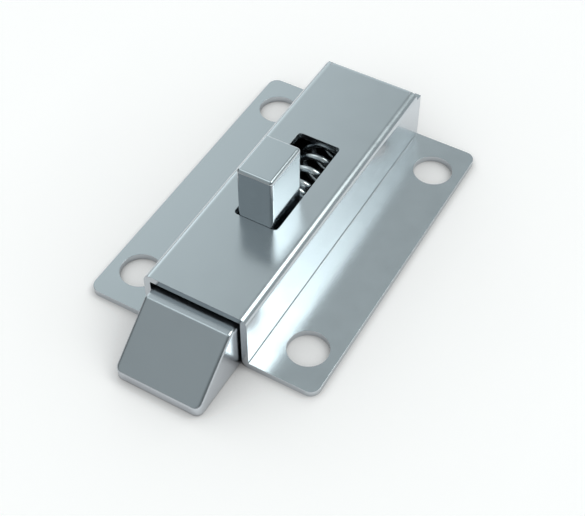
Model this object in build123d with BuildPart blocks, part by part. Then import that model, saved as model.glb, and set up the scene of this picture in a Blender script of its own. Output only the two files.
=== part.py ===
"""Surface-mounted slide latch with a spring-loaded bolt.

A strip of sheet steel is folded to a hat section with two drilled flanges. A
bevelled bolt slides inside the hat and stands out of its mouth. A thumb knob on
the bolt passes through a slot in the top. A compression spring between the bolt
and a tab, folded down at the rear, pushes the bolt out until the knob meets the
front end of the slot. All sizes are in millimetres.

Frame: the origin is the centre of the four fixing holes on the mounting face.
+Z points away from the mounting face, +Y points from the bolt's nose to the
spring, and +X points across the latch.
"""

import os
from math import cos, radians, sin, tan

from build123d import *

# Bolt
bolt_width = 15.7
bolt_thickness = 9.65
bolt_projection = 11.8     # nose in front of the housing's mouth, at rest
bolt_tail = 2.1            # bolt behind the knob
bevel_start = 2.2          # top edge of the bevel in front of the mouth
nose_height = 1.8          # upright face left under the bevel
nose_corner_r = 1.2        # upright edges of the nose
bolt_edge_r = 0.6          # edges along the head's top and the sides of the bevel
bevel_edge_r = 0.45        # top edge of the bevel
head_length = 3.0          # full-height head behind the mouth, at rest
shank_drop = 1.0           # shank below the top of the head
tail_chamfer = 1.5         # top edge of the shank's rear end
spigot_length = 3.5        # round spigot that centres the spring

# Housing
housing_length = 60.0
sheet = 1.2
bend_r = 0.2               # inside of every bend
flange_reach = 12.0        # each flange, from the outside of its wall
flange_corner_r = 1.8
bolt_under_gap = 0.2       # bolt above the mounting face
bolt_top_gap = 0.85        # bolt below the housing's top
bolt_side_gap = 0.35       # bolt to each wall

# Fixing holes, M6 clearance
hole_d = 7.0
hole_to_wall = 6.7         # hole centre to the outside of the wall
hole_to_end = 7.25         # hole centre to the end of the flange

# Slot and travel
travel = 12.2
knob_setback = 18.05       # mouth to the front of the knob, at rest
stop_gap = 0.05            # knob to each end of the slot at the end of its travel
slot_side_gap = 0.77
slot_corner_r = 0.7

# Tab folded down at the rear
tab_inset = 0.6            # outside of the tab in front of the walls' rear edges
tab_foot_gap = 0.4         # tab above the mounting face
notch_width = 0.3          # relief between the tab and each upper side bend
notch_depth = 0.2          # relief in front of the tab's bend
side_bend_end = 1.5        # upper side bends end in front of the walls' rear edges

# Thumb knob
knob_width = 6.55
knob_length = 9.3
knob_height = 10.3         # above the housing's top
knob_edge_r = 0.6
seat_depth = 1.2           # pocket in the shank that keeps the knob from turning
seat_gap = 0.05

# Countersunk socket screw that holds the knob, M3
screw_d = 3.0
screw_head_d = 6.0
screw_reach = 5.0          # thread in the knob
screw_gap = 0.1            # radial clearance in the bolt
thread_gap = 0.02          # radial clearance that stands for the thread
socket_across_flats = 2.0
socket_depth = 1.0
blind_end = 0.8            # knob's hole past the end of the screw
countersink_angle = 90.0

# Compression spring
spring_od = 9.0
wire_d = 1.2
wire_sides = 8             # the round wire is an eight-sided one, to keep its facets few
active_turns = 7.75
closed_turns = 0.75        # at each end
closed_turn_gap = 0.06     # between coils that touch
spring_start_angle = 285.0 # where the wire starts, round the spring's axis
spring_seat_gap = 0.05
peg_gap = 0.25             # radial, from the spring's inside to its pegs

# Stud riveted into the tab, with a peg that centres the spring
stud_peg_length = 3.5
stud_shank_d = 3.0
stud_shank_gap = 0.02
stud_rivet_d = 4.8
stud_rivet_height = 0.5
peg_chamfer = 0.5

# Worked out from the sizes above
hat_width = bolt_width + 2 * (bolt_side_gap + sheet)
hat_height = bolt_under_gap + bolt_thickness + bolt_top_gap + sheet
flange_width = hat_width + 2 * flange_reach
bend_outer_r = bend_r + sheet
mouth_y = -housing_length / 2
rear_y = housing_length / 2
hole_spacing_x = hat_width + 2 * hole_to_wall
hole_spacing_y = housing_length - 2 * hole_to_end

bolt_bottom = bolt_under_gap
bolt_top = bolt_bottom + bolt_thickness
bolt_axis_z = bolt_bottom + bolt_thickness / 2
shank_top = bolt_top - shank_drop
nose_y = mouth_y - bolt_projection
bevel_y = mouth_y - bevel_start
shank_y = mouth_y + head_length

knob_front_y = mouth_y + knob_setback
knob_rear_y = knob_front_y + knob_length
knob_y = (knob_front_y + knob_rear_y) / 2
knob_bottom = shank_top - seat_depth
knob_top = hat_height + knob_height
bolt_rear_y = knob_rear_y + bolt_tail

slot_front_y = knob_front_y - stop_gap
slot_rear_y = knob_rear_y + travel + stop_gap
slot_width = knob_width + 2 * slot_side_gap

tab_outer_y = rear_y - tab_inset
tab_inner_y = tab_outer_y - sheet
notch_front_y = tab_outer_y - bend_outer_r - notch_depth
gap_between_bends = hat_width - 2 * bend_outer_r
tab_width = gap_between_bends - 2 * notch_width

spring_front_y = bolt_rear_y + spring_seat_gap
spring_rear_y = tab_inner_y - spring_seat_gap
spring_mean_r = (spring_od - wire_d) / 2
peg_d = spring_od - 2 * wire_d - 2 * peg_gap


# Housing: one folded sheet
with BuildPart() as housing:
    # The hat section, drawn as the sheet's middle line and given its thickness
    wall_x = (hat_width - sheet) / 2
    with BuildSketch(Plane.XZ.offset(-rear_y)) as hat_section:
        with BuildLine() as middle_line:
            FilletPolyline(
                (-flange_width / 2, sheet / 2),
                (-wall_x, sheet / 2),
                (-wall_x, hat_height - sheet / 2),
                (wall_x, hat_height - sheet / 2),
                (wall_x, sheet / 2),
                (flange_width / 2, sheet / 2),
                radius=bend_r + sheet / 2,
            )
        trace(line_width=sheet)
    extrude(amount=housing_length)

    # Rounded corners of the two flanges
    upright_edges = housing.edges().filter_by(Axis.Z)
    flange_corners = upright_edges.filter_by(lambda e: abs(e.center().X) > flange_width / 2 - sheet / 2)
    fillet(flange_corners, flange_corner_r)

    # Four fixing holes through the flanges
    with BuildSketch(Plane.XY) as fixing_holes:
        with GridLocations(hole_spacing_x, hole_spacing_y, 2, 2):
            Circle(hole_d / 2)
    extrude(amount=sheet, mode=Mode.SUBTRACT)

    # Slot for the knob
    with BuildSketch(Plane.XY.offset(hat_height)) as slot:
        with Locations((0, (slot_front_y + slot_rear_y) / 2)):
            RectangleRounded(slot_width, slot_rear_y - slot_front_y, slot_corner_r)
    extrude(amount=-sheet, mode=Mode.SUBTRACT)

    # The top is cut back between its side bends, and the tab is folded down from the cut
    with BuildSketch(Plane.XY.offset(hat_height)) as tab_cut:
        with Locations((0, (notch_front_y + rear_y) / 2)):
            Rectangle(gap_between_bends, rear_y - notch_front_y)
    extrude(amount=-sheet, mode=Mode.SUBTRACT)
    with BuildSketch(Plane.YZ) as tab_section:
        with BuildLine() as tab_line:
            FilletPolyline(
                (notch_front_y, hat_height - sheet / 2),
                (tab_outer_y - sheet / 2, hat_height - sheet / 2),
                (tab_outer_y - sheet / 2, tab_foot_gap),
                radius=bend_r + sheet / 2,
            )
        trace(line_width=sheet)
    extrude(amount=tab_width / 2, both=True)

    # The upper side bends end short of the walls' rear edges, level with the tab's bend
    with BuildSketch(Plane.XY.offset(hat_height)) as corner_cut:
        for side in (-1, 1):
            with Locations((side * (gap_between_bends + bend_outer_r) / 2, rear_y - side_bend_end / 2)):
                Rectangle(bend_outer_r, side_bend_end)
    extrude(amount=-bend_outer_r, mode=Mode.SUBTRACT)

    # Hole in the tab for the spring's stud
    with BuildSketch(Plane.XZ.offset(-tab_outer_y)) as stud_hole:
        with Locations((0, bolt_axis_z)):
            Circle(stud_shank_d / 2 + stud_shank_gap)
    extrude(amount=sheet, mode=Mode.SUBTRACT)


# Latch bolt: a head with a bevelled nose, a lower shank and a spigot for the spring
with BuildPart() as latch_bolt:
    with BuildSketch(Plane.YZ) as bolt_side:
        with BuildLine():
            Polyline(
                (bolt_rear_y, bolt_bottom),
                (nose_y, bolt_bottom),
                (nose_y, bolt_bottom + nose_height),
                (bevel_y, bolt_top),
                (shank_y, bolt_top),
                (shank_y, shank_top),
                (bolt_rear_y - tail_chamfer, shank_top),
                (bolt_rear_y, shank_top - tail_chamfer),
                close=True,
            )
        make_face()
    extrude(amount=bolt_width / 2, both=True)

    # Rounded edges: the top of the bevel and the nose's uprights, then along both sides
    bevel_top = latch_bolt.edges().filter_by(Axis.X).group_by(Axis.Z)[-1].sort_by(Axis.Y)[0]
    fillet(bevel_top, bevel_edge_r)
    nose_uprights = latch_bolt.edges().filter_by(Axis.Z).group_by(Axis.Y)[0]
    fillet(nose_uprights, nose_corner_r)
    side_edges = latch_bolt.edges().filter_by(
        lambda e: abs(abs(e.center().X) - bolt_width / 2) < bolt_edge_r / 100
        and e.center().Z > bolt_bottom + nose_height
        and e.center().Y < shank_y - bolt_edge_r / 100
    )
    fillet(side_edges, bolt_edge_r)

    # Pocket that the knob stands in
    with BuildSketch(Plane.XY.offset(shank_top)) as knob_seat:
        with Locations((0, knob_y)):
            Rectangle(knob_width + 2 * seat_gap, knob_length + 2 * seat_gap)
    extrude(amount=-seat_depth, mode=Mode.SUBTRACT)

    # Countersunk hole for the knob's screw, from below
    with Locations(Plane.XY.offset(bolt_bottom).rotated((180, 0, 0))):
        with Locations((0, -knob_y)):
            CounterSinkHole(
                screw_d / 2 + screw_gap,
                screw_head_d / 2 + screw_gap,
                counter_sink_angle=countersink_angle,
            )

    # Spigot inside the spring's first coils
    with BuildSketch(Plane.XZ.offset(-bolt_rear_y)) as spigot:
        with Locations((0, bolt_axis_z)):
            Circle(peg_d / 2)
    extrude(amount=-spigot_length)
    spigot_tip = latch_bolt.faces().sort_by(Axis.Y)[-1]
    chamfer(spigot_tip.edges(), peg_chamfer)


# Thumb knob: a block with eased edges, standing in the bolt's pocket
with BuildPart() as thumb_knob:
    with BuildSketch(Plane.XY.offset(knob_bottom)):
        with Locations((0, knob_y)):
            RectangleRounded(knob_width, knob_length, knob_edge_r)
    extrude(amount=knob_top - knob_bottom)
    fillet(thumb_knob.faces().sort_by(Axis.Z)[-1].edges(), knob_edge_r)
    with BuildSketch(Plane.XY.offset(knob_bottom)) as thread_hole:
        with Locations((0, knob_y)):
            Circle(screw_d / 2 + thread_gap)
    extrude(amount=screw_reach + blind_end, mode=Mode.SUBTRACT)


# Knob screw: its countersunk head, with a hexagon socket, is level with the bolt's underside
with BuildPart() as knob_screw:
    cone_height = (screw_head_d - screw_d) / 2 / tan(radians(countersink_angle / 2))
    screw_tip = knob_bottom + screw_reach
    with BuildSketch(Plane.YZ) as screw_half:
        with BuildLine():
            Polyline(
                (knob_y, bolt_bottom),
                (knob_y + screw_head_d / 2, bolt_bottom),
                (knob_y + screw_d / 2, bolt_bottom + cone_height),
                (knob_y + screw_d / 2, screw_tip),
                (knob_y, screw_tip),
                close=True,
            )
        make_face()
    revolve(axis=Axis((0, knob_y, 0), (0, 0, 1)))
    with BuildSketch(Plane.XY.offset(bolt_bottom)) as hexagon_socket:
        with Locations((0, knob_y)):
            RegularPolygon(socket_across_flats / 2, 6, major_radius=False)
    extrude(amount=socket_depth, mode=Mode.SUBTRACT)


# Compression spring: an open coil between two closed end turns
closed_length = closed_turns * (wire_d + closed_turn_gap)
coil_front_y = spring_front_y + wire_d / 2
coil_rear_y = spring_rear_y - wire_d / 2
active_length = coil_rear_y - coil_front_y - 2 * closed_length
stretches = [
    (closed_turns, closed_length),
    (active_turns, active_length),
    (closed_turns, closed_length),
]

with BuildPart() as spring:
    start_y = coil_front_y
    start_angle = radians(spring_start_angle)
    for turns, length in stretches:
        # The wire's section stands in a plane through the axis, so the stretches meet face to face
        start = Plane(
            origin=(0, start_y, bolt_axis_z),
            x_dir=(cos(start_angle), 0, -sin(start_angle)),
            z_dir=(0, 1, 0),
        )
        wire_line = start.location * Helix(length / turns, length, spring_mean_r, mode=Mode.PRIVATE)
        with BuildSketch(Plane(wire_line @ 0, x_dir=start.x_dir, z_dir=start.y_dir)) as wire_section:
            RegularPolygon(wire_d / 2, wire_sides)
        sweep(path=wire_line, is_frenet=True)
        start_y += length
        start_angle += radians(360 * turns)


# Stud for the spring's rear end, riveted into the tab
with BuildPart() as spring_stud:
    with BuildSketch(Plane.YZ) as stud_half:
        with BuildLine():
            Polyline(
                (tab_inner_y - stud_peg_length, bolt_axis_z),
                (tab_inner_y - stud_peg_length, bolt_axis_z + peg_d / 2),
                (tab_inner_y, bolt_axis_z + peg_d / 2),
                (tab_inner_y, bolt_axis_z + stud_shank_d / 2),
                (tab_outer_y, bolt_axis_z + stud_shank_d / 2),
                (tab_outer_y, bolt_axis_z + stud_rivet_d / 2),
                (tab_outer_y + stud_rivet_height, bolt_axis_z + stud_shank_d / 2),
                (tab_outer_y + stud_rivet_height, bolt_axis_z),
                close=True,
            )
        make_face()
    revolve(axis=Axis((0, 0, bolt_axis_z), (0, 1, 0)))
    peg_tip = spring_stud.faces().sort_by(Axis.Y)[0]
    chamfer(peg_tip.edges(), peg_chamfer)


# Written out, one file for each piece
os.makedirs("parts", exist_ok=True)
pieces = {
    "housing": housing,
    "latch_bolt": latch_bolt,
    "thumb_knob": thumb_knob,
    "knob_screw": knob_screw,
    "spring": spring,
    "spring_stud": spring_stud,
}
for name, piece in pieces.items():
    piece.part.label = name
    export_step(piece.part, f"parts/{name}.step")
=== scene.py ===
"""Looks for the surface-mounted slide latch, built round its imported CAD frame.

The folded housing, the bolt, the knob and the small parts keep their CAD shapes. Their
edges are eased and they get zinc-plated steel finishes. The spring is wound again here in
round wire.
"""

import math

import bpy
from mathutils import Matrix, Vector


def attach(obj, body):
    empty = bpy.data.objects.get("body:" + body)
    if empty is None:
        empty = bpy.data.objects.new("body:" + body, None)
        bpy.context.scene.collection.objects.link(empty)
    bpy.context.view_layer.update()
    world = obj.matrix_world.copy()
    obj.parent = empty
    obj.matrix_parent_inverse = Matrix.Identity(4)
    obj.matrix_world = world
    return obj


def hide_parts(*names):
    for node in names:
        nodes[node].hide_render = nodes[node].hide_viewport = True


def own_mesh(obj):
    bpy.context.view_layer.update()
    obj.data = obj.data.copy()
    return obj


MM = 0.001

# Camera, fitted to the photograph's edges
CAMERA_TARGET = Vector((4.061, -6.875, 0.0)) * MM
CAMERA_DISTANCE = 200.45 * MM
CAMERA_AZIMUTH = math.radians(29.95)
CAMERA_ELEVATION = math.radians(49.81)
CAMERA_LENS = 72.6
SENSOR_WIDTH = 36.0
CLIP_START = 5 * MM
CLIP_END = 20.0

# Finishes: how far the mottled plating varies, and how fine its patterns are
MOTTLE_SCALE = 260.0
MOTTLE_LOW = 0.3
MOTTLE_HIGH = 0.7
TONE_SPREAD = 0.04
ROUGHNESS_SPREAD = 0.03
GRAIN_SCALE = 3200.0
GRAIN_DEPTH = 0.002 * MM
EVEN_GRAIN = (1.0, 1.0, 1.0)
GRAIN_ALONG_PART = (1.0, 0.06, 1.0)
# Edges, found where the rounded normal turns away from the face, and how much rougher they are
EDGE_STARTS = 0.99
EDGE_FULL = 0.85
EDGE_DULLING = 0.06

# Easing of the CAD edges
JOIN_WITHIN = 0.0005 * MM
FLAT_WITHIN = math.radians(0.4)
SHARP_ABOVE = math.radians(32)
EASING_SEGMENTS = 2
FLAT_FACE_WEIGHT = 80

# Spring, as in the CAD: closed turns at each end, open turns between
SPRING_AXIS_Z = 5.025 * MM
SPRING_MEAN_RADIUS = 3.9 * MM
SPRING_WIRE = 1.2 * MM
SPRING_FRONT = 0.1 * MM
SPRING_REAR = 27.55 * MM
SPRING_CLOSED_TURNS = 0.75
SPRING_OPEN_TURNS = 7.75
SPRING_CLOSED_PITCH = 1.26 * MM
SPRING_START_ANGLE = math.radians(285)
SPRING_STEPS_EACH_TURN = 40
SPRING_WIRE_SIDES = 16

# Floor: white paper that glows a little, and the shade painted into its glow and colour under and beside
# the latch
FLOOR_SIZE = 3.0
FLOOR_COLOUR = (0.80, 0.76, 0.755)
FLOOR_GLOW = 0.50
SHADE_REACH = 45 * MM
GLOW_LEFT_IN_SHADE = 0.40
PAPER_LEFT_IN_SHADE = 0.52
# Share of the sky that covered floor sees, where the floor is painted black and where the painted shade
# no longer darkens it
COVERED_BELOW = 0.1
UNCOVERED_ABOVE = 0.4
# In the metal, the paper carries a painted shade that darkens it in front and to the left of the bolt's
# nose
DIM_TOWARDS = (-0.6, -0.8, 0.0)
LIT_WITHIN = 32 * MM
DIM_BEYOND = 56 * MM
DIM_SHARE = 0.4

# Light, read off the reflections
STUDIO_TINT = (0.885, 0.99, 1.0)
STUDIO_LEVEL = 0.44
# Main soft box: direction, half its width and height, softness of its edges, strength
SOFT_BOX_AXIS = Vector((0.42, 0.42, 0.805)).normalized()
SOFT_BOX_HALF_WIDTH = 0.25
SOFT_BOX_HALF_HEIGHT = 0.185
SOFT_BOX_EDGE = 0.075
SOFT_BOX_STRENGTH = 4.0
SOFT_BOX_TINT = (0.925, 0.99, 0.955)
SOFT_BOX_LEAST_AHEAD = 0.01
# Round glows on the walls: axis, full within and fades out at (degrees), strength.
# A strength below zero is a darker stretch of wall.
STUDIO_GLOWS = [
    ((-0.80, 0.50, 0.33), 3, 17, 0.64),
    ((-0.63, 0.54, 0.56), 8, 28, 0.41),
    ((-0.33, -0.04, 0.94), 4, 20, 0.85),
    ((-0.3, 0.92, 0.25), 5, 25, 0.36),
    ((0.75, -0.65, 0.1), 10, 65, -0.26),
    ((0.1, -0.9, 0.3), 10, 60, -0.035),
    ((-0.95, -0.3, 0.1), 15, 45, -0.28),
]

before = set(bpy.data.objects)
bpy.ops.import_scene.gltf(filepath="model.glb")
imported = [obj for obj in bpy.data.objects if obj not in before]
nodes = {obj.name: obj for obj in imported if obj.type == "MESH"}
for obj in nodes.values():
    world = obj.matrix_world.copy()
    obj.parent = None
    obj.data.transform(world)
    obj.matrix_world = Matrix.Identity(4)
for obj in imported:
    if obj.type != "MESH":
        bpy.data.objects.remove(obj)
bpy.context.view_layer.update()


# Node helpers

def add_node(tree, kind, inputs=None, **settings):
    """Add a node, with its settings, and its inputs as values or as the sockets they come from."""
    node = tree.nodes.new(kind)
    for setting, value in settings.items():
        setattr(node, setting, value)
    for socket, value in (inputs or {}).items():
        if isinstance(value, bpy.types.NodeSocket):
            tree.links.new(value, node.inputs[socket])
        else:
            node.inputs[socket].default_value = value
    return node


def maths(tree, operation, *values):
    return add_node(tree, "ShaderNodeMath", dict(enumerate(values)), operation=operation).outputs[0]


def dot_product(tree, first, second):
    product = add_node(tree, "ShaderNodeVectorMath", {0: first, 1: second}, operation="DOT_PRODUCT")
    return product.outputs["Value"]


def ramp(tree, value, start, end, low=0.0, high=1.0, kind="SMOOTHSTEP"):
    """Rise or fall from low, where the value is at start, to high, where it is at end."""
    ranged = add_node(tree, "ShaderNodeMapRange", {
        "Value": value, "From Min": start, "From Max": end, "To Min": low, "To Max": high},
        interpolation_type=kind)
    return ranged.outputs["Result"]


def empty_tree(owner):
    owner.use_nodes = True
    owner.node_tree.nodes.clear()
    return owner.node_tree


# Camera

def camera_back():
    """Unit vector from what the camera looks at towards the camera."""
    return Vector((
        math.sin(CAMERA_AZIMUTH) * math.cos(CAMERA_ELEVATION),
        -math.cos(CAMERA_AZIMUTH) * math.cos(CAMERA_ELEVATION),
        math.sin(CAMERA_ELEVATION),
    ))


def make_camera():
    data = bpy.data.cameras.new("camera")
    data.lens = CAMERA_LENS
    data.sensor_width = SENSOR_WIDTH
    data.clip_start = CLIP_START
    data.clip_end = CLIP_END
    camera = bpy.data.objects.new("camera", data)
    bpy.context.scene.collection.objects.link(camera)
    camera.location = CAMERA_TARGET + camera_back() * CAMERA_DISTANCE
    camera.rotation_mode = "QUATERNION"
    camera.rotation_quaternion = (-camera_back()).to_track_quat("-Z", "Y")
    bpy.context.scene.camera = camera


make_camera()


# Finishes

def steel_finish(name, colour, roughness, grain_stretch=EVEN_GRAIN, worn_edge=0.2):
    """Bright steel with a fine drawn grain, soft mottling and slightly dulled edges.

    worn_edge is the radius, in millimetres, to which the shading rounds the edges.
    """
    material = bpy.data.materials.new(name)
    tree = empty_tree(material)
    place = add_node(tree, "ShaderNodeTexCoord").outputs["Object"]

    # Slow mottling of the plating, a few millimetres across
    mottling = add_node(tree, "ShaderNodeTexNoise", {
        "Vector": place, "Scale": MOTTLE_SCALE, "Detail": 3.0, "Roughness": 0.55}).outputs["Fac"]
    dark = [channel * (1 - TONE_SPREAD) for channel in colour]
    light = [channel * (1 + TONE_SPREAD) for channel in colour]
    tone = add_node(tree, "ShaderNodeMix", {
        "Factor": mottling, "A": (*dark, 1), "B": (*light, 1)}, data_type="RGBA").outputs["Result"]
    shine = ramp(tree, mottling, MOTTLE_LOW, MOTTLE_HIGH,
                 roughness - ROUGHNESS_SPREAD, roughness + ROUGHNESS_SPREAD, kind="LINEAR")

    # Edges, rounded and dulled where the bright skin has been rubbed
    eased = add_node(tree, "ShaderNodeBevel", {"Radius": worn_edge * MM}, samples=6).outputs["Normal"]
    facing = add_node(tree, "ShaderNodeNewGeometry").outputs["Normal"]
    edge = ramp(tree, dot_product(tree, eased, facing), EDGE_STARTS, EDGE_FULL, kind="LINEAR")
    dulled = maths(tree, "MULTIPLY_ADD", edge, EDGE_DULLING, shine)

    # Drawn grain, stretched along the part
    stretched = add_node(tree, "ShaderNodeMapping", {
        "Vector": place, "Scale": grain_stretch}).outputs["Vector"]
    grain = add_node(tree, "ShaderNodeTexNoise", {
        "Vector": stretched, "Scale": GRAIN_SCALE, "Detail": 4.0, "Roughness": 0.6}).outputs["Fac"]
    bump = add_node(tree, "ShaderNodeBump", {
        "Strength": 1.0, "Distance": GRAIN_DEPTH, "Height": grain, "Normal": eased}).outputs["Normal"]

    shader = add_node(tree, "ShaderNodeBsdfPrincipled", {
        "Base Color": tone, "Metallic": 1.0, "Roughness": dulled, "Normal": bump})
    add_node(tree, "ShaderNodeOutputMaterial", {"Surface": shader.outputs["BSDF"]})
    return material


finishes = {
    "plated_sheet": steel_finish(
        "zinc_plated_sheet", (0.60, 0.635, 0.667), 0.23, GRAIN_ALONG_PART, worn_edge=0.1),
    "plated_bolt": steel_finish(
        "zinc_plated_bolt", (0.61, 0.643, 0.68), 0.22, GRAIN_ALONG_PART, worn_edge=0.45),
    "plated_knob": steel_finish(
        "zinc_plated_knob", (0.588, 0.627, 0.66), 0.14, worn_edge=0.06),
    "screw_steel": steel_finish("zinc_plated_screw", (0.52, 0.57, 0.60), 0.28),
    "spring_wire": steel_finish("drawn_spring_wire", (0.74, 0.77, 0.79), 0.07),
    "stud_steel": steel_finish("plain_stud_steel", (0.46, 0.48, 0.49), 0.32),
}
node_finishes = {
    "housing": "plated_sheet",
    "latch_bolt": "plated_bolt",
    "thumb_knob": "plated_knob",
    "knob_screw": "screw_steel",
    "spring_stud": "stud_steel",
}
edge_easing = {
    "housing": 0.1 * MM,
    "latch_bolt": 0.1 * MM,
    "thumb_knob": 0.08 * MM,
    "knob_screw": 0.05 * MM,
    "spring_stud": 0.05 * MM,
}


def ease_edges(obj, width):
    """Join the loose CAD triangles, clear the flat ones and round off the sharp edges."""
    weld = obj.modifiers.new("join triangles", "WELD")
    weld.merge_threshold = JOIN_WITHIN
    flatten = obj.modifiers.new("clear flat triangles", "DECIMATE")
    flatten.decimate_type = "DISSOLVE"
    flatten.angle_limit = FLAT_WITHIN
    bevel = obj.modifiers.new("ease edges", "BEVEL")
    bevel.limit_method = "ANGLE"
    bevel.angle_limit = SHARP_ABOVE
    bevel.width = width
    bevel.segments = EASING_SEGMENTS
    bevel.use_clamp_overlap = True
    shade = obj.modifiers.new("even shading", "WEIGHTED_NORMAL")
    shade.keep_sharp = False
    shade.weight = FLAT_FACE_WEIGHT


for node_name, finish in node_finishes.items():
    node = nodes[node_name]
    node.data.materials.clear()
    node.data.materials.append(finishes[finish])
    ease_edges(node, edge_easing[node_name])


# Spring

def spring_maker():
    """Geometry Nodes that wind a compression spring with closed ends round an axis along Y."""
    tree = bpy.data.node_groups.new("wind_spring", "GeometryNodeTree")
    wanted = [
        ("Wire Diameter", "NodeSocketFloat", SPRING_WIRE),
        ("Mean Radius", "NodeSocketFloat", SPRING_MEAN_RADIUS),
        ("Length", "NodeSocketFloat", SPRING_REAR - SPRING_FRONT),
        ("Closed Turns", "NodeSocketFloat", SPRING_CLOSED_TURNS),
        ("Open Turns", "NodeSocketFloat", SPRING_OPEN_TURNS),
        ("Closed Pitch", "NodeSocketFloat", SPRING_CLOSED_PITCH),
        ("Start Angle", "NodeSocketFloat", SPRING_START_ANGLE),
        ("Front", "NodeSocketVector", (0.0, SPRING_FRONT, SPRING_AXIS_Z)),
        ("Steps Each Turn", "NodeSocketInt", SPRING_STEPS_EACH_TURN),
        ("Wire Sides", "NodeSocketInt", SPRING_WIRE_SIDES),
        ("Finish", "NodeSocketMaterial", finishes["spring_wire"]),
    ]
    for label, kind, _ in wanted:
        tree.interface.new_socket(label, in_out="INPUT", socket_type=kind)
    tree.interface.new_socket("Geometry", in_out="OUTPUT", socket_type="NodeSocketGeometry")
    given = add_node(tree, "NodeGroupInput").outputs
    closed, opened, closed_pitch = given["Closed Turns"], given["Open Turns"], given["Closed Pitch"]
    turns = maths(tree, "MULTIPLY_ADD", closed, 2.0, opened)
    steps = maths(tree, "MULTIPLY", turns, given["Steps Each Turn"])
    line = add_node(tree, "GeometryNodeMeshLine", {"Count": steps, "Offset": (0.0, 1.0, 0.0)})
    path = add_node(tree, "GeometryNodeMeshToCurve", {"Mesh": line.outputs["Mesh"]}).outputs["Curve"]
    share = add_node(tree, "GeometryNodeSplineParameter").outputs["Factor"]
    turn = maths(tree, "MULTIPLY", share, turns)

    # How far along the axis each turn lies: closed pitch, open pitch, closed pitch
    closed_both = maths(tree, "MULTIPLY", maths(tree, "MULTIPLY", closed, closed_pitch), 2.0)
    open_length = maths(tree, "SUBTRACT", given["Length"], closed_both)
    open_pitch = maths(tree, "DIVIDE", open_length, opened)
    past_closed = maths(tree, "MAXIMUM", maths(tree, "SUBTRACT", turn, closed), 0.0)
    open_done = maths(tree, "MINIMUM", past_closed, opened)
    closed_done = maths(tree, "SUBTRACT", turn, open_done)
    along_closed = maths(tree, "MULTIPLY", closed_done, closed_pitch)
    along = maths(tree, "MULTIPLY_ADD", open_done, open_pitch, along_closed)

    # The wire's line, and its round section
    angle = maths(tree, "MULTIPLY_ADD", turn, 2 * math.pi, given["Start Angle"])
    across = maths(tree, "MULTIPLY", maths(tree, "COSINE", angle), given["Mean Radius"])
    down = maths(tree, "MULTIPLY", maths(tree, "SINE", angle), given["Mean Radius"])
    offset = add_node(tree, "ShaderNodeCombineXYZ", {
        "X": across, "Y": along, "Z": maths(tree, "MULTIPLY", down, -1.0)}).outputs["Vector"]
    point = add_node(tree, "ShaderNodeVectorMath", {
        0: offset, 1: given["Front"]}, operation="ADD").outputs["Vector"]
    wound = add_node(tree, "GeometryNodeSetPosition", {
        "Geometry": path, "Position": point}).outputs["Geometry"]
    wire_radius = maths(tree, "MULTIPLY", given["Wire Diameter"], 0.5)
    section = add_node(tree, "GeometryNodeCurvePrimitiveCircle", {
        "Resolution": given["Wire Sides"], "Radius": wire_radius}).outputs["Curve"]
    wire = add_node(tree, "GeometryNodeCurveToMesh", {
        "Curve": wound, "Profile Curve": section, "Fill Caps": True}).outputs["Mesh"]

    whole = add_node(tree, "GeometryNodeRealizeInstances", {"Geometry": wire}).outputs["Geometry"]
    finished = add_node(tree, "GeometryNodeSetMaterial", {
        "Geometry": whole, "Material": given["Finish"]}).outputs["Geometry"]
    add_node(tree, "NodeGroupOutput", {"Geometry": finished})
    return tree, {label: value for label, _, value in wanted}


def wind_spring():
    """Wind the wire, hang the spring on the housing body and hide the CAD spring."""
    tree, chosen = spring_maker()
    former = bpy.data.objects.new("spring_former", bpy.data.meshes.new("spring_blank"))
    bpy.context.scene.collection.objects.link(former)
    maker = former.modifiers.new("wind", "NODES")
    maker.node_group = tree
    for item in tree.interface.items_tree:
        if item.in_out == "INPUT":
            maker[item.identifier] = chosen[item.name]
    evaluated = former.evaluated_get(bpy.context.evaluated_depsgraph_get())
    mesh = bpy.data.meshes.new_from_object(evaluated)
    bpy.data.objects.remove(former)
    mesh.name = "wound_spring"
    mesh.shade_smooth()
    spring = bpy.data.objects.new("wound_spring", mesh)
    bpy.context.scene.collection.objects.link(spring)
    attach(spring, "housing_body")
    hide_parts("spring")
    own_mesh(spring)


wind_spring()


# Floor

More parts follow.
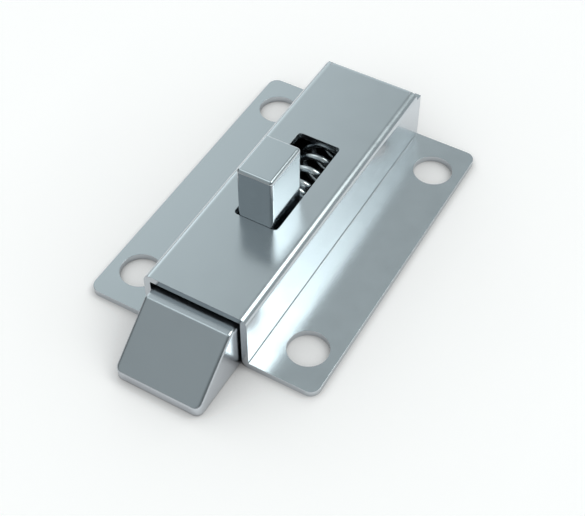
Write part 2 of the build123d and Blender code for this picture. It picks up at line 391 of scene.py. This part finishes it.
def floor_material():
    """White paper. It glows a little where it is open to the room, so that it looks white. Its glow and
    colour carry a painted shade under and beside the latch.
    """
    material = bpy.data.materials.new("floor_paper")
    tree = empty_tree(material)
    rays = add_node(tree, "ShaderNodeLightPath").outputs
    seen_plainly = maths(tree, "MAXIMUM", rays["Is Camera Ray"], rays["Is Glossy Ray"])
    seen = maths(tree, "MAXIMUM", seen_plainly, rays["Is Transmission Ray"])

    # Painted shade for reflections only: the paper darkens with distance towards the front and left
    place = add_node(tree, "ShaderNodeTexCoord").outputs["Object"]
    away = dot_product(tree, place, DIM_TOWARDS)
    painted_dimming = ramp(tree, away, LIT_WITHIN, DIM_BEYOND, 0.0, 1.0 - DIM_SHARE)
    painted_dimming_left = maths(tree, "SUBTRACT", 1.0, maths(tree, "MULTIPLY", rays["Is Glossy Ray"], painted_dimming))

    # Painted shade under and beside the latch, from ambient occlusion; covered floor is painted black
    openness = add_node(tree, "ShaderNodeAmbientOcclusion", {
        "Distance": SHADE_REACH}, samples=8).outputs["AO"]
    open_squared = maths(tree, "POWER", openness, 2.0)
    uncovered = ramp(tree, openness, COVERED_BELOW, UNCOVERED_ABOVE)
    # Painted shade: scales the floor's glow and colour down under the latch and, in reflections only,
    # towards the front and left
    painted_shade_kept = maths(tree, "MULTIPLY", painted_dimming_left, uncovered)

    def shaded(left_in_shade):
        """Share of a brightness that the painted shade leaves, from none of it under the latch to all of
        it.
        """
        share = maths(tree, "MULTIPLY_ADD", open_squared, 1 - left_in_shade, left_in_shade)
        return maths(tree, "MULTIPLY", share, painted_shade_kept)

    glow_share = maths(tree, "MULTIPLY", seen, shaded(GLOW_LEFT_IN_SHADE))
    glow = add_node(tree, "ShaderNodeEmission", {
        "Strength": maths(tree, "MULTIPLY", glow_share, FLOOR_GLOW)})
    colour = add_node(tree, "ShaderNodeVectorMath", {
        0: FLOOR_COLOUR, 3: shaded(PAPER_LEFT_IN_SHADE)}, operation="SCALE").outputs["Vector"]
    paper = add_node(tree, "ShaderNodeBsdfDiffuse", {"Color": colour})
    both = add_node(tree, "ShaderNodeAddShader", {0: paper.outputs["BSDF"], 1: glow.outputs["Emission"]})
    add_node(tree, "ShaderNodeOutputMaterial", {"Surface": both.outputs["Shader"]})
    return material


def make_floor():
    half = FLOOR_SIZE / 2
    corners = [(-half, -half, 0), (half, -half, 0), (half, half, 0), (-half, half, 0)]
    mesh = bpy.data.meshes.new("floor")
    mesh.from_pydata(corners, [], [(0, 1, 2, 3)])
    mesh.materials.append(floor_material())
    floor = bpy.data.objects.new("floor", mesh)
    bpy.context.scene.collection.objects.link(floor)


make_floor()


# Light

def light_group(name, vectors, numbers):
    """Start a shader group that takes these inputs and gives the light from one direction."""
    tree = bpy.data.node_groups.new(name, "ShaderNodeTree")
    for labels, kind in ((vectors, "NodeSocketVector"), (numbers, "NodeSocketFloat")):
        for label in labels:
            tree.interface.new_socket(label, in_out="INPUT", socket_type=kind)
    tree.interface.new_socket("Light", in_out="OUTPUT", socket_type="NodeSocketFloat")
    return tree, add_node(tree, "NodeGroupInput").outputs


def round_glow():
    """A light that is full round its axis and fades out smoothly."""
    tree, given = light_group("round_glow", ("Direction", "Axis"),
                              ("Full Within", "Fades Out At", "Strength"))
    ahead = dot_product(tree, given["Direction"], given["Axis"])
    faded = maths(tree, "COSINE", given["Fades Out At"])
    full = maths(tree, "COSINE", given["Full Within"])
    add_node(tree, "NodeGroupOutput", {"Light": ramp(tree, ahead, faded, full, 0.0, given["Strength"])})
    return tree


def soft_box():
    """A rectangular light with soft edges, square to its axis."""
    tree, given = light_group("soft_box", ("Direction", "Axis", "Across", "Up"),
                              ("Half Width", "Half Height", "Edge", "Strength"))
    ahead = dot_product(tree, given["Direction"], given["Axis"])
    in_front = maths(tree, "GREATER_THAN", ahead, SOFT_BOX_LEAST_AHEAD)
    depth = maths(tree, "MAXIMUM", ahead, SOFT_BOX_LEAST_AHEAD)
    light = maths(tree, "MULTIPLY", given["Strength"], in_front)
    for side, half in (("Across", "Half Width"), ("Up", "Half Height")):
        sideways = dot_product(tree, given["Direction"], given[side])
        offset = maths(tree, "ABSOLUTE", maths(tree, "DIVIDE", sideways, depth))
        inner = maths(tree, "SUBTRACT", given[half], given["Edge"])
        outer = maths(tree, "ADD", given[half], given["Edge"])
        light = maths(tree, "MULTIPLY", light, ramp(tree, offset, inner, outer, 1.0, 0.0))
    add_node(tree, "NodeGroupOutput", {"Light": light})
    return tree


def make_world():
    """A plain studio whose walls brighten smoothly towards a few soft lights."""
    world = bpy.data.worlds.new("studio")
    bpy.context.scene.world = world
    tree = empty_tree(world)
    direction = add_node(tree, "ShaderNodeTexCoord").outputs["Generated"]

    wall_light = STUDIO_LEVEL
    glow_tree = round_glow()
    for axis, full, faded, strength in STUDIO_GLOWS:
        glow = add_node(tree, "ShaderNodeGroup", node_tree=glow_tree, inputs={
            "Direction": direction, "Axis": Vector(axis).normalized(), "Full Within": math.radians(full),
            "Fades Out At": math.radians(faded), "Strength": strength})
        wall_light = maths(tree, "ADD", wall_light, glow.outputs["Light"])
    walls = add_node(tree, "ShaderNodeBackground", {"Color": (*STUDIO_TINT, 1), "Strength": wall_light})

    up = (Vector((0, 1, 0)) - SOFT_BOX_AXIS * SOFT_BOX_AXIS.y).normalized()
    box = add_node(tree, "ShaderNodeGroup", node_tree=soft_box(), inputs={
        "Direction": direction, "Axis": SOFT_BOX_AXIS, "Across": up.cross(SOFT_BOX_AXIS), "Up": up,
        "Half Width": SOFT_BOX_HALF_WIDTH, "Half Height": SOFT_BOX_HALF_HEIGHT,
        "Edge": SOFT_BOX_EDGE, "Strength": SOFT_BOX_STRENGTH})
    lit_box = add_node(tree, "ShaderNodeBackground", {
        "Color": (*SOFT_BOX_TINT, 1), "Strength": box.outputs["Light"]})
    room = add_node(tree, "ShaderNodeAddShader", {
        0: walls.outputs["Background"], 1: lit_box.outputs["Background"]})

    white = add_node(tree, "ShaderNodeBackground", {"Color": (1, 1, 1, 1), "Strength": 1.0})
    camera_ray = add_node(tree, "ShaderNodeLightPath").outputs["Is Camera Ray"]
    shown = add_node(tree, "ShaderNodeMixShader", {
        0: camera_ray, 1: room.outputs["Shader"], 2: white.outputs["Background"]})
    add_node(tree, "ShaderNodeOutputWorld", {"Surface": shown.outputs["Shader"]})


make_world()

bpy.context.scene.view_settings.view_transform = "Standard"
